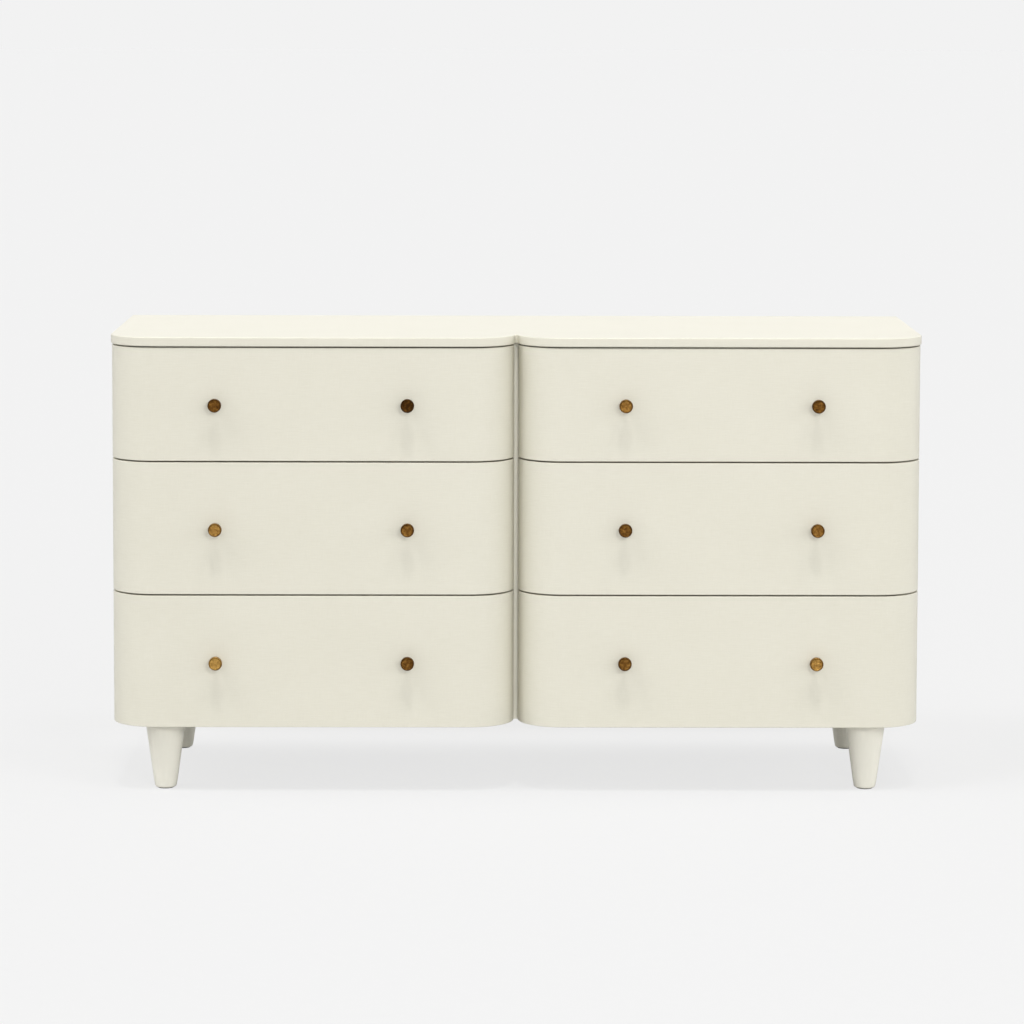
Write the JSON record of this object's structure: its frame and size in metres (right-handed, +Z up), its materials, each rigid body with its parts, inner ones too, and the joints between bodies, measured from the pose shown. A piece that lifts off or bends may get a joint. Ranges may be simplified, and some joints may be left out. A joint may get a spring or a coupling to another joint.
{
  "type": "double dresser",
  "caption": "Cream linen-wrapped double dresser with two bowed banks of sliding drawers, round tapered legs and small aged-brass knobs.",
  "frame": {"origin": "on the floor, under the middle of the whole object's bounding box", "axes": "+X to the right along the width as seen from the front, +Y to the back, +Z up"},
  "size_m": [1.52, 0.53, 0.858],
  "materials": {
    "lacquered_linen": "satin lacquer over a fine linen wrap",
    "lacquered_wood": "satin lacquer",
    "drawer_wood": "clear satin",
    "case_ply": "unfinished",
    "aged_brass": "hammered, aged"
  },
  "bodies": {
    "case": {"top_panel": "lacquered_linen", "bottom_panel": "lacquered_linen", "side_panel_left": "lacquered_linen", "side_panel_right": "lacquered_linen", "partition_left": "case_ply", "partition_right": "case_ply", "centre_post": "lacquered_wood", "back_panel": "case_ply", "divider_left_lower": "case_ply", "divider_left_upper": "case_ply", "divider_right_lower": "case_ply", "divider_right_upper": "case_ply", "leg_front_left": "lacquered_wood", "leg_front_right": "lacquered_wood", "leg_back_left": "lacquered_wood", "leg_back_right": "lacquered_wood"},
    "drawer_left_bottom": {"front_left_bottom": "lacquered_linen", "drawer_side_left_bottom_left": "drawer_wood", "drawer_side_left_bottom_right": "drawer_wood", "drawer_back_left_bottom": "drawer_wood", "drawer_base_left_bottom": "drawer_wood", "knob_left_bottom_left": "aged_brass", "knob_left_bottom_right": "aged_brass"},
    "drawer_left_middle": {"front_left_middle": "lacquered_linen", "drawer_side_left_middle_left": "drawer_wood", "drawer_side_left_middle_right": "drawer_wood", "drawer_back_left_middle": "drawer_wood", "drawer_base_left_middle": "drawer_wood", "knob_left_middle_left": "aged_brass", "knob_left_middle_right": "aged_brass"},
    "drawer_left_top": {"front_left_top": "lacquered_linen", "drawer_side_left_top_left": "drawer_wood", "drawer_side_left_top_right": "drawer_wood", "drawer_back_left_top": "drawer_wood", "drawer_base_left_top": "drawer_wood", "knob_left_top_left": "aged_brass", "knob_left_top_right": "aged_brass"},
    "drawer_right_bottom": {"front_right_bottom": "lacquered_linen", "drawer_side_right_bottom_left": "drawer_wood", "drawer_side_right_bottom_right": "drawer_wood", "drawer_back_right_bottom": "drawer_wood", "drawer_base_right_bottom": "drawer_wood", "knob_right_bottom_left": "aged_brass", "knob_right_bottom_right": "aged_brass"},
    "drawer_right_middle": {"front_right_middle": "lacquered_linen", "drawer_side_right_middle_left": "drawer_wood", "drawer_side_right_middle_right": "drawer_wood", "drawer_back_right_middle": "drawer_wood", "drawer_base_right_middle": "drawer_wood", "knob_right_middle_left": "aged_brass", "knob_right_middle_right": "aged_brass"},
    "drawer_right_top": {"front_right_top": "lacquered_linen", "drawer_side_right_top_left": "drawer_wood", "drawer_side_right_top_right": "drawer_wood", "drawer_back_right_top": "drawer_wood", "drawer_base_right_top": "drawer_wood", "knob_right_top_left": "aged_brass", "knob_right_top_right": "aged_brass"}
  },
  "joints": [
    {"name": "drawer_left_bottom_slide", "type": "slide", "parent": "case", "child": "drawer_left_bottom", "axis": [0, -1, 0], "range_m": [0, 0.32]},
    {"name": "drawer_left_middle_slide", "type": "slide", "parent": "case", "child": "drawer_left_middle", "axis": [0, -1, 0], "range_m": [0, 0.32]},
    {"name": "drawer_left_top_slide", "type": "slide", "parent": "case", "child": "drawer_left_top", "axis": [0, -1, 0], "range_m": [0, 0.32]},
    {"name": "drawer_right_bottom_slide", "type": "slide", "parent": "case", "child": "drawer_right_bottom", "axis": [0, -1, 0], "range_m": [0, 0.32]},
    {"name": "drawer_right_middle_slide", "type": "slide", "parent": "case", "child": "drawer_right_middle", "axis": [0, -1, 0], "range_m": [0, 0.32]},
    {"name": "drawer_right_top_slide", "type": "slide", "parent": "case", "child": "drawer_right_top", "axis": [0, -1, 0], "range_m": [0, 0.32]}
  ]
}
